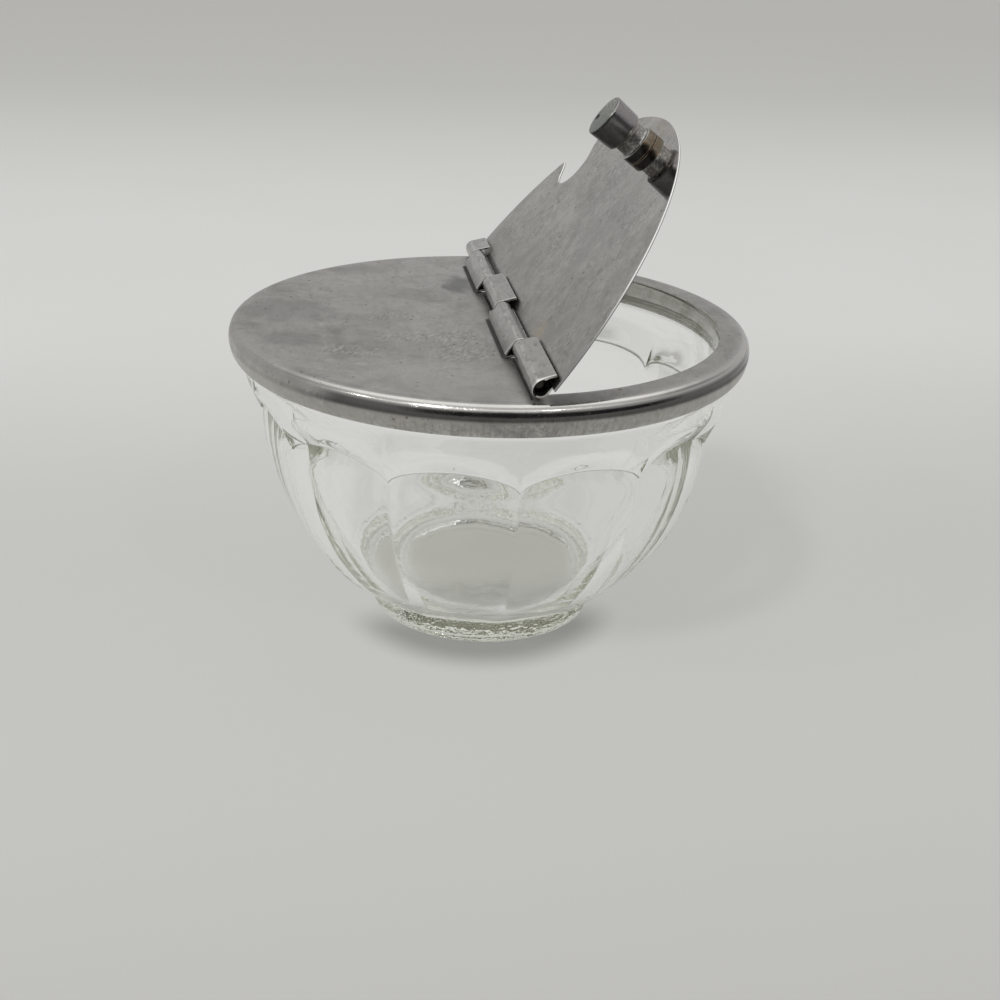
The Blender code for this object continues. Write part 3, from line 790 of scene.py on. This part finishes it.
lidSize = {
    "top": 66.6,
    "flat": [(3.4, 0), (2, 0.03), (0.9, 0.1)],  # in from the shoulder's centre, down from the top
    "radius": 56,
    "shoulderWide": 2, "shoulderHigh": 2.8, "shoulderFoot": 63.6,
    "bottom": 59.6, "hem": 53.7, "knee": (55.95, 60.3),
    "mouth": 49.6, "sheet": 0.5, "edge": 0.1, "edgeTurn": 60, "steps": 288,
}
pinPlace = {"x": 2.5, "z": 68.8, "open": 52}
flapRadius = 54.6
knuckleEnds = [share * flapRadius for share in (-0.963, -0.52, -0.026, 0.359, 0.797, 0.978)]
fixedKnuckles = (1, 3)
knuckleSize = {
    "gap": 0.35,
    "middle": 1.65,  # radius of the roll, halfway through the sheet
    "inside": 1.66,
    "sheet": 0.48,
    "edge": 0.12,
    "edgeTurn": 50,
    "columns": 23,
    "pinchLong": 2.6,
    "flapStart": 2.3,
    "flapTail": (3.7, 0.3),
    "ramp": [(4.1, 0), (3.65, 0), (3.4, 0.09)],  # from the pin, over the cover
    "rampFoot": (2, -0.08),
    "fixedTail": (3.1, 0.5),
    "coverEdge": 0.3,
    "notchDeep": 3.5,
    "notchRoom": (0.75, 0.3),
    "notchEdge": {3: [(0.3, 0)], 1: [(0.3, 8.5), (2, 6.5), (2.7, 0.5)]},  # 1 has a thin gap beside it
}


def knuckleSpan(index):
    return knuckleEnds[index] + knuckleSize["gap"] / 2, knuckleEnds[index + 1] - knuckleSize["gap"] / 2


def collarOutline(inset=0.0):
    size = lidSize
    foot, knee = size["shoulderFoot"], size["knee"]
    centre = size["radius"] - size["shoulderWide"]
    wide, high = size["shoulderWide"] - inset, size["shoulderHigh"] - inset
    flat = [(centre - back, size["top"] - inset - down) for back, down in size["flat"]]
    angle = np.radians(np.linspace(86, 0, 19))
    shoulder = np.stack([centre + wide * np.cos(angle), foot + high * np.sin(angle)], -1)
    controls = [(size["radius"], foot), (knee[0], knee[1] + inset * 0.4), (size["hem"], size["bottom"])]
    skirt = bezier([(r - inset, z) for r, z in controls], np.linspace(0, 1, 15))
    return np.concatenate([flat, shoulder, skirt[1:]])


def mouthOutline():
    edge, notch = pinPlace["x"] - knuckleSize["coverEdge"], pinPlace["x"] - knuckleSize["notchDeep"]
    corner = math.degrees(math.acos(edge / lidSize["mouth"]))
    outline = arc((0, 0), lidSize["mouth"], -corner, corner, 144).tolist()
    for index in fixedKnuckles[::-1]:
        low, high = [end + room for end, room in zip(knuckleSpan(index), knuckleSize["notchRoom"])]
        outline += [(pinPlace["x"] - back, high + on) for back, on in knuckleSize["notchEdge"][index]]
        outline += [(notch, high), (notch, low), (edge, low)]
    return outline


def pointsOf(bm, points):
    return [bm.verts.new((x * mm, y * mm, z * mm)) for x, y, z in points]


def ringOf(bm, points):
    corners = pointsOf(bm, points)
    return corners, [bm.edges.new((a, b)) for a, b in zip(corners, corners[1:] + corners[:1])]


def sheetSteps(size, offset):  # gives a surface the thickness of the sheet and rounds its edges
    thick = {"thickness": size["sheet"] * mm, "offset": offset, "use_even_offset": True}
    rounded = {"width": size["edge"] * mm, "segments": 2, "limit_method": "ANGLE"}
    rounded["angle_limit"] = math.radians(size["edgeTurn"])
    return [("SOLIDIFY", thick), ("BEVEL", rounded)]


def lidMesh():
    size = lidSize
    steps = size["steps"]
    angle = np.arange(steps) * math.tau / steps
    directions = list(zip(np.cos(angle), np.sin(angle)))
    rings = [[(r * c, r * s, z) for c, s in directions] for r, z in collarOutline().tolist()]
    bm = bmesh.new()
    last, edges = ringOf(bm, rings[0])
    for ring in rings[1:]:
        here = pointsOf(bm, ring)
        for j in range(steps):
            k = (j + 1) % steps
            bm.faces.new((last[j], here[j], here[k], last[k]))
        last = here
    edges += ringOf(bm, [(x, y, size["top"]) for x, y in mouthOutline()])[1]
    bmesh.ops.triangle_fill(bm, edges=edges, use_beauty=True, normal=(0, 0, 1))
    bmesh.ops.recalc_face_normals(bm, faces=bm.faces)
    if sum(face.normal.z * face.calc_area() for face in bm.faces) < 0:
        bmesh.ops.reverse_faces(bm, faces=bm.faces)
    mesh = bpy.data.meshes.new("fixedCover")
    bm.to_mesh(mesh)
    bm.free()
    return withModifiers("fixedCover", mesh, sheetSteps(size, -1.0))


def paintInside(mesh):  # the second finish, on the faces that look in or down
    for face in mesh.polygons:
        out = Vector((face.center.x, face.center.y, 0.0)).normalized()
        if face.normal.dot(out) + face.normal.z < -0.5:
            face.material_index = 1


# Hinge knuckles, each a strip of sheet rolled over the pin


def stripMesh(name, path, start, end, pinch=0.0):
    size = knuckleSize
    points = []
    for x, z in path:
        for y in np.linspace(start, end, size["columns"]):
            squeeze = pinch * max(0.0, 1 - (y - start) / size["pinchLong"]) ** 2
            points.append((x, y, z - max(z, 0.0) * squeeze))
    mesh = meshFrom(name, points, lattice(len(path), size["columns"], False))
    return withModifiers(name, mesh, sheetSteps(size, 0.0))


def darkenInside(piece, place=None):  # painted shade: near-black faces inside the rolls
    back = place.inverted() if place else Matrix.Translation((-pinPlace["x"] * mm, 0, -pinPlace["z"] * mm))
    piece.data.materials.append(bpy.data.materials["hinge_inside_shade"])
    for face in piece.data.polygons:
        centre = back @ face.center
        normal = back.to_3x3() @ face.normal
        away = Vector((centre.x, 0.0, centre.z))
        if away.length < knuckleSize["inside"] * mm and normal.dot(away) < 0:
            face.material_index = 1


def rolled(long, over):  # once round the pin, then straight to the tail
    middle = knuckleSize["middle"]
    leave = math.atan2(over, long) + math.acos(middle / math.hypot(long, over))
    roll = arc((0, 0), middle, -90, math.degrees(leave) - 360, 30)
    straight = np.linspace(roll[-1], (long, over), 5)
    return np.concatenate([roll, straight[1:]])


def flapKnuckle(index, name, finish, pinch=0.0):
    size = knuckleSize
    long, over = size["flapTail"]
    start = [(size["flapStart"], -size["middle"])]
    path = np.concatenate([start, rolled(long, over + lidSize["sheet"] - size["middle"])])
    mesh = stripMesh(name, path, *knuckleSpan(index), pinch)
    darkenInside(addPiece(name, mesh, finish, "lid_flap", ["flap"], hingePlace), hingePlace)


def fixedKnuckle(index, name, finish):
    size = knuckleSize
    long, over = size["fixedTail"]
    cover = lidSize["top"] - lidSize["sheet"] / 2 - pinPlace["z"]
    ramp = [(away, cover + rise) for away, rise in size["ramp"]]
    ramp.append((size["rampFoot"][0], size["rampFoot"][1] - size["middle"]))
    path = np.concatenate([ramp, rolled(long, over + lidSize["sheet"] + cover)])
    path = np.stack([pinPlace["x"] - path[:, 0], pinPlace["z"] + path[:, 1]], -1)
    mesh = stripMesh(name, path, *knuckleSpan(index))
    darkenInside(addPiece(name, mesh, finish, "jar", ["fixed_lid"]))


# Flap, in its own frame: the hinge pin along Y, X along the leaf, Z out of its upper face

flapSize = {
    "chord": 1.45, "top": -1.4, "edge": 0.12,
    "slotTurn": 45, "slotWide": 11.8, "slotDeep": 5, "slotFlare": 1, "slotEase": 0.1,
}
hingePlace = Matrix.Translation((pinPlace["x"] * mm, 0, pinPlace["z"] * mm))
hingePlace = hingePlace @ Matrix.Rotation(math.radians(-pinPlace["open"]), 4, "Y")


def flapOutline():
    size = flapSize
    half = size["slotWide"] / 2
    flare = half + size["slotFlare"]
    deep = flapRadius - size["slotDeep"]
    reach = math.sqrt(flapRadius ** 2 - flare ** 2)
    corner = math.degrees(math.acos((pinPlace["x"] + size["chord"]) / flapRadius))
    opening = math.degrees(math.asin(flare / flapRadius))
    controls = [(reach, flare), ((reach + deep) / 2, half + size["slotEase"]), (deep, half)]
    side = bezier(controls, np.linspace(0, 1, 7))[:-1]
    slot = np.concatenate([side, arc((deep, 0), half, 90, 270, 30), (side * (1, -1))[::-1]])
    turn = math.radians(size["slotTurn"])
    slot = slot @ np.array([[math.cos(turn), math.sin(turn)], [-math.sin(turn), math.cos(turn)]])
    outline = arc((0, 0), flapRadius, -corner, size["slotTurn"] - opening, 110).tolist()
    outline += slot[::-1][1:-1].tolist()
    outline += arc((0, 0), flapRadius, size["slotTurn"] + opening, corner, 60).tolist()
    return [(x - pinPlace["x"], y) for x, y in outline]


def plateMesh(name, outlines, top, sheet, edge):  # a flat sheet with rounded edges, from a filled curve
    curve = bpy.data.curves.new(name, "CURVE")
    curve.dimensions = "2D"
    curve.fill_mode = "BOTH"
    curve.extrude = (sheet / 2 - edge) * mm
    curve.bevel_depth = edge * mm
    curve.bevel_resolution = 1
    curve.offset = -edge * mm
    for outline in outlines:
        spline = curve.splines.new("POLY")
        spline.points.add(len(outline) - 1)
        for point, (x, y) in zip(spline.points, outline):
            point.co = (x * mm, y * mm, 0.0, 1.0)
        spline.use_cyclic_u = True
    mesh = withModifiers(name, curve, [])
    mesh.transform(Matrix.Translation((0, 0, (top - sheet / 2) * mm)))
    tidyMesh(mesh)
    return mesh


# Knob, from its seat on the flap, and the screw that holds it. Outlines are radius and height.

knobSize = {
    "away": 44.5, "seat": -1.1, "bore": 1.3, "boreDeep": 5, "bottom": -0.26,
    "flange": [
        (3.9, -0.26), (4.06, -0.18), (4.1, -0.02), (4.1, 0.6),
        (4.1, 1.62), (4.06, 1.8), (3.94, 1.89), (3.75, 1.92),
    ],
    "neck": [
        (3.6, 1.98), (3.46, 2.12), (3.4, 2.36), (3.38, 3), (3.38, 4),
        (3.4, 4.55), (3.48, 4.8), (3.66, 4.93), (3.9, 5),
    ],
    "cap": [(4.12, 5.06), (4.28, 5.18), (4.35, 5.36), (4.39, 5.9), (4.48, 7.6), (4.58, 9.6), (4.62, 10.55)],
    "rim": (4.3, 10.63),
    "rimRound": 0.32,
    "top": [
        (3.8, 10.98), (2.8, 11.02), (1.6, 11.05), (0.78, 11.05),
        (0.6, 11), (0.44, 10.86), (0.2, 10.78), (0, 10.76),
    ],
    "dent": (-1.2, 2.7),
    "dentOver": 10.7,
    "dentReach": 3.8,
}
screwSize = {
    "shank": 1, "tip": 4.3, "tipEdge": 0.3, "washer": 0.3,
    "head": [
        (1.85, 0), (2, -0.12), (2, -0.42), (1.9, -0.75),
        (1.6, -1.05), (1.15, -1.22), (0.6, -1.29), (0, -1.3),
    ],
    "slot": (6, 0.6, 1.2), "slotTurn": 25, "slotDown": 1.35,
}


def knobMesh():
    size = knobSize
    reach = size["dentReach"]
    outline = [(0.0, size["boreDeep"]), (size["bore"], size["boreDeep"]), (size["bore"], size["bottom"])]
    outline += size["flange"] + size["neck"] + size["cap"]
    outline += arc(size["rim"], size["rimRound"], 5, 82, 6).tolist() + size["top"]
    mesh = turned("liftKnob", outline, 96)
    for vertex in mesh.vertices:  # the small dent lies off the middle
        away = math.hypot(vertex.co.x, vertex.co.y) / mm
        if vertex.co.z > size["dentOver"] * mm and away < reach:
            vertex.co.x += size["dent"][0] * (1 - away / reach) * mm
            vertex.co.y += size["dent"][1] * (1 - away / reach) * mm
    return mesh


def screwMesh():
    size = screwSize
    shank, tip, edge = size["shank"], size["tip"], size["tipEdge"]
    under = flapSize["top"] - lidSize["sheet"] - size["washer"] - knobSize["seat"]
    outline = [(0.0, tip), (shank - edge, tip), (shank, tip - edge), (shank, under)]
    outline += [(r, under + z) for r, z in size["head"]]
    mesh = turned("screw", outline, 64)
    slot = bpy.data.meshes.new("slot")
    bm = bmesh.new()
    bmesh.ops.create_cube(bm, size=1.0)
    bmesh.ops.scale(bm, verts=bm.verts, vec=[part * mm for part in size["slot"]])
    bmesh.ops.rotate(bm, verts=bm.verts, matrix=Matrix.Rotation(math.radians(size["slotTurn"]), 3, "Z"))
    bmesh.ops.translate(bm, verts=bm.verts, vec=(0, 0, (under - size["slotDown"]) * mm))
    bm.to_mesh(slot)
    bm.free()
    cutter = placed("slotCutter", slot)
    cut = {"operation": "DIFFERENCE", "solver": "EXACT", "object": cutter}
    made = withModifiers("knobScrew", mesh, [("BOOLEAN", cut)])
    bpy.data.objects.remove(cutter, do_unlink=True)
    return made


# Glass bowl: every column of points follows the outline at its own place between two ridges

glassSize = {
    "panels": 12,
    "foot": [
        (0, 0.5), (9, 0.5), (16, 0.5), (20.6, 0.48), (21.8, 0.36), (22.5, 0.16), (23, 0.03),
        (23.6, 0), (24.4, 0), (24.9, 0.08), (25.25, 0.3), (25.42, 0.7), (25.6, 1.6),
        (25.85, 2.8), (26.15, 4.2), (26.45, 5.5), (26.72, 6.5), (26.9, 7), (27.12, 7.35), (27.45, 7.54),
    ],
    "toe": (27.5, 30, 7.58),  # from radius, to radius, height
    "toeSteps": (0.25, 0.55, 0.8),
    "ridge": [(30, 7.6), (30.9, 7.1), (49.4, 21), (49.4, 46.5)],
    "ridgeSteps": (0.012, 0.03, 0.055, 0.085, *np.linspace(0.12, 0.74, 22)),
    "ridgeSoft": 0.35,
    "cusp": 46.5, "rise": 3.3, "cuspSoft": 0.05, "shelf": 0.35, "bulge": 0.35,
    "ledge": 0.4, "fillet": 0.2, "lip": 0.16, "band": 52.8, "bandFoot": 56.5,
    "bandLean": (0.9, 0.2, 0.4),
    "bandSteps": (57.4, 58.3, 59.2),
    "bead": (59.4, 51.2, 0.8),  # from height, to radius, inside the lid
    "rim": 49.4,
    "rimRound": 1.5,
    "top": 65.8,
    "wall": 3.5,
    "neckInside": [(49.4, 58.5), (49.4, 54.5), (46.3, 50), (45.9, 44.5)],
    "dish": [(21, 10.62), (17.5, 10.6), (16.2, 10.52), (15.2, 10.42), (13.5, 10.4)],
    "dishMiddle": [(7, 10.4), (0, 10.4)],
}
ridgeGaps = [0, 0.12, 0.3, 0.6, 1, 1.6, 2.4, 3.4, 4.8, 6.5, 8.6, 10.8, 13, 15]


def glassInside():  # over the rim and down, with an even wall from the ridges
    size = glassSize
    bend = size["rimRound"]
    rim = arc((size["rim"] + bend, size["top"] - bend), bend, 90, 180, 7)
    neck = bezier(size["neckInside"], np.linspace(0, 1, 20))
    ridge = bezier(size["ridge"], np.linspace(1, 0.03, 60))
    along = np.gradient(ridge, axis=0)
    along = along / np.linalg.norm(along, axis=1)[:, None]
    wall = ridge + np.stack([along[:, 1], -along[:, 0]], -1) * size["wall"]
    wall = wall[wall[:, 1] < size["neckInside"][-1][1] - 1.0]
    inside = softened([rim[-1], *neck, *wall, *size["dish"]], 1.5, 2.4)
    return [rim, inside[1:], size["dishMiddle"]]


def glassPanel(flat, arch):  # up the outside to the arch, for a column that lies in by the share flat
    size = glassSize
    toeStart, toeEnd, toeHigh = size["toe"]
    toe = [(toeStart + (toeEnd * flat - toeStart) * share, toeHigh) for share in size["toeSteps"]]
    wall = bezier(size["ridge"], np.array(size["ridgeSteps"])) * (flat, 1.0)
    table = bezier(size["ridge"], np.linspace(0.5, 1, 200))
    high = np.linspace(wall[-1][1], arch - size["fillet"], 13)[1:]
    upper = np.stack([np.interp(high, table[:, 1], table[:, 0]) * flat, high], -1)
    return [toe, wall, upper]


def glassColumn(gap):  # radius and height, from under the foot up the outside and down the inside
    size = glassSize
    fillet, lip, band, bandFoot = (size[name] for name in ("fillet", "lip", "band", "bandFoot"))
    half = 180 / size["panels"]
    eased = half - math.hypot(gap, size["ridgeSoft"])
    flat = math.cos(math.radians(half)) / math.cos(math.radians(max(eased, 0.0)))
    flat = flat + (1 - flat) * size["bulge"]
    soft = size["cuspSoft"]
    share = (math.hypot(gap / half, soft) - soft) / (math.hypot(1, soft) - soft)
    arch = size["cusp"] + size["rise"] * math.sqrt(max(0.0, 1 - (1 - share) ** 2))
    panel = glassPanel(flat, arch)
    panelTop = panel[-1][-1][0]
    corner = arc((panelTop + fillet, arch - fillet), fillet, 180, 90, 5)[1:]
    outer = panelTop + size["ledge"] + size["shelf"] * math.sin(math.pi * min(share * 2.5, 0.5 + share / 2))
    ledge = np.linspace(corner[-1], (outer - lip, arch), 5)[1:-1]
    lipLine = arc((outer - lip, arch + lip), lip, -90, -8, 5)
    rise = bandFoot - arch - lip
    out, start, end = size["bandLean"]
    controls = [(outer, arch + lip), (outer + out, arch + lip + rise * start)]
    controls += [(band, bandFoot - rise * end), (band, bandFoot)]
    edge = bezier(controls, np.linspace(0, 1, 60))
    rest = np.linspace(arch + lip, bandFoot, 16)[1:]
    shoulder = np.stack([np.interp(rest, edge[:, 1], edge[:, 0]), rest], -1)
    upright = [(band, z) for z in size["bandSteps"]]
    beadFoot, beadEnd, inset = size["bead"]
    bead = softened([(band, beadFoot), *collarOutline(inset)[::-1], (beadEnd, size["top"])], 0.55, 0.5)
    outside = [size["foot"], *panel, corner, ledge, lipLine, shoulder, upright, bead[1:-1]]
    return np.concatenate(outside + glassInside())


def glassMesh():
    spread = 360 / glassSize["panels"]
    gaps = ridgeGaps + [spread - gap for gap in ridgeGaps[-2:0:-1]]
    columns = [glassColumn(min(gap, spread - gap)) for gap in gaps] * glassSize["panels"]
    turns = np.radians([spread * k + gap for k in range(glassSize["panels"]) for gap in gaps])
    outlines = np.stack(columns, 1)
    r, z = outlines[..., 0], outlines[..., 1]
    points = np.stack([r * np.cos(turns), r * np.sin(turns), z], -1)
    return meshFrom("glassBowl", points.reshape(-1, 3), lattice(len(outlines), len(turns), True))


# Stage, light and camera. The lamps are in metres.

stageSize = {
    "sides": 96,
    "rings": [0, 50, 120, 300, 800, 2000, 5000],
    "lamps": [  # one soft lamp, and two small ones for the glints in the glass
        {"place": (-0.42, -0.5, 0.95), "size": 0.15, "power": 1.6},
        {"place": (0.3, -0.62, 0.8), "size": 0.07, "power": 0.2},
        {"place": (-0.62, -0.2, 0.7), "size": 0.06, "power": 0.15},
    ],
    "aim": (0, 0, 0.04),
}
studioLook = {
    "walls": (0.56, 0.56, 0.555),
    "ceiling": (0.55, 0.85, 1, (1.3, 1.3, 1.28)),
    "dark": (0.06, 0.06, 0.062),  # what the metal mirrors from the front
    "darkLean": 0.33,
    "darkTop": (0.53, 0.66),
    "darkSide": (-0.78, -0.46),
    "through": (0.69, 0.69, 0.68),
    "even": (0.84, 0.84, 0.83),
    "seen": (0.52, 0.52, 0.505),
}


def addFloor():
    mesh = turned("floor", [(r, 0.0) for r in stageSize["rings"]], stageSize["sides"])
    if sum(face.normal.z for face in mesh.polygons) < 0:
        mesh.flip_normals()
    mesh.materials.append(paleFloor())
    placed("floor", mesh)


def lightStudio():
    world = bpy.data.worlds.new("studio")
    scene.world = world
    sheet = NodeSheet(world)
    look = studioLook
    x, y, z = sheet.parts(sheet.node("ShaderNodeTexCoord", out="Generated"))
    dark = sheet.step(-y, 0.05, 0.4) * sheet.step(z, 0.0, 0.05) * sheet.step(x, *look["darkSide"])
    dark = dark * (1 - sheet.step(z + sheet.size(x) * look["darkLean"], *look["darkTop"]))
    mirrored, through, seen = [
        sheet.node("ShaderNodeLightPath", out=f"Is {ray} Ray") for ray in ("Glossy", "Transmission", "Camera")
    ]
    sheet.start(look["walls"])
    sheet.layer(look["ceiling"], z)
    sheet.coat(dark, look["dark"])
    sheet.coat(through * 0.85, look["through"])
    sheet.coat((1 - mirrored) * (1 - through), look["even"])
    sheet.coat(seen, look["seen"])
    sheet.feed(sheet.tree.nodes["Background"].inputs["Color"], sheet.colour)
    for lamp in stageSize["lamps"]:
        light = bpy.data.lights.new("softLamp", "AREA")
        light.shape = "DISK"
        light.size = lamp["size"]
        light.energy = lamp["power"]
        holder = placed("softLamp", light)
        holder.location = lamp["place"]
        holder.rotation_mode = "QUATERNION"
        holder.rotation_quaternion = (Vector(stageSize["aim"]) - holder.location).to_track_quat("-Z", "Y")


cameraPlace = {
    "target": (3.71, -0.57, 23.35),
    "away": 321.6,
    "look": (0.1381, 0.9035, -0.4058),
    "roll": 2.38,
    "lens": 50.4,
    "sensor": 36,
    "near": 10,
}


def addCamera():
    look = Vector(cameraPlace["look"]).normalized()
    side = look.cross(Vector((0, 0, 1))).normalized()
    up = side.cross(look)
    roll = math.radians(cameraPlace["roll"])
    right = side * math.cos(roll) + up * math.sin(roll)
    top = up * math.cos(roll) - side * math.sin(roll)
    data = bpy.data.cameras.new("camera")
    data.lens = cameraPlace["lens"]
    data.sensor_width = cameraPlace["sensor"]
    data.clip_start = cameraPlace["near"] * mm
    camera = placed("camera", data)
    place = (Vector(cameraPlace["target"]) - look * cameraPlace["away"]) * mm
    camera.matrix_world = Matrix.Translation(place) @ Matrix((right, top, -look)).transposed().to_4x4()
    scene.camera = camera


# Build

addFloor()
lightStudio()
addCamera()
print("stage set")

coverSteel = lidSteel()
leafSteel = flapSteel(hingePlace)
rollSteel = hingeSteel()
# painted shade for the insides of the rolls
plainSteel("hinge_inside_shade", "paintedShade")
bowl = addPiece("glassBowl", glassMesh(), pressedGlass(), "jar", ["glass_bowl"], sharp=50.0)
bowl.visible_shadow = False  # clear glass lets the soft light through to the floor
cover = addPiece("fixedCover", lidMesh(), coverSteel, "jar", ["fixed_lid"], sharp=24.0)
cover.data.materials.append(lidInsidePaled())
paintInside(cover.data)
fixedKnuckle(1, "knuckleD", rollSteel)
fixedKnuckle(3, "knuckleB", rollSteel)
hole = arc((knobSize["away"], 0), knobSize["bore"], 0, 360, 48)[:-1]
leaf = plateMesh("flapLeaf", [flapOutline(), hole], flapSize["top"], lidSize["sheet"], flapSize["edge"])
addPiece("flapLeaf", leaf, leafSteel, "lid_flap", ["flap"], hingePlace, 20.0)
flapKnuckle(0, "knuckleE", rollSteel, 0.28)
flapKnuckle(2, "knuckleC", rollSteel)
flapKnuckle(4, "knuckleA", rollSteel)
knobPlace = hingePlace @ Matrix.Translation((knobSize["away"] * mm, 0, knobSize["seat"] * mm))
addPiece("liftKnob", knobMesh(), knobSteel(knobPlace), "lid_flap", ["knob"], knobPlace, 38.0)
screw = screwMesh()
screwSteel = plainSteel("screw_steel_worn", "screw", knobPlace)
addPiece("knobScrew", screw, screwSteel, "lid_flap", ["knob_screw"], knobPlace)
# pin darkened as painted shade
pinSteel = plainSteel("pin_steel_dark_as_shade", "pin")
for slot in frame["nodes"]["hinge_pin"].material_slots:
    slot.material = pinSteel
print("pieces done")
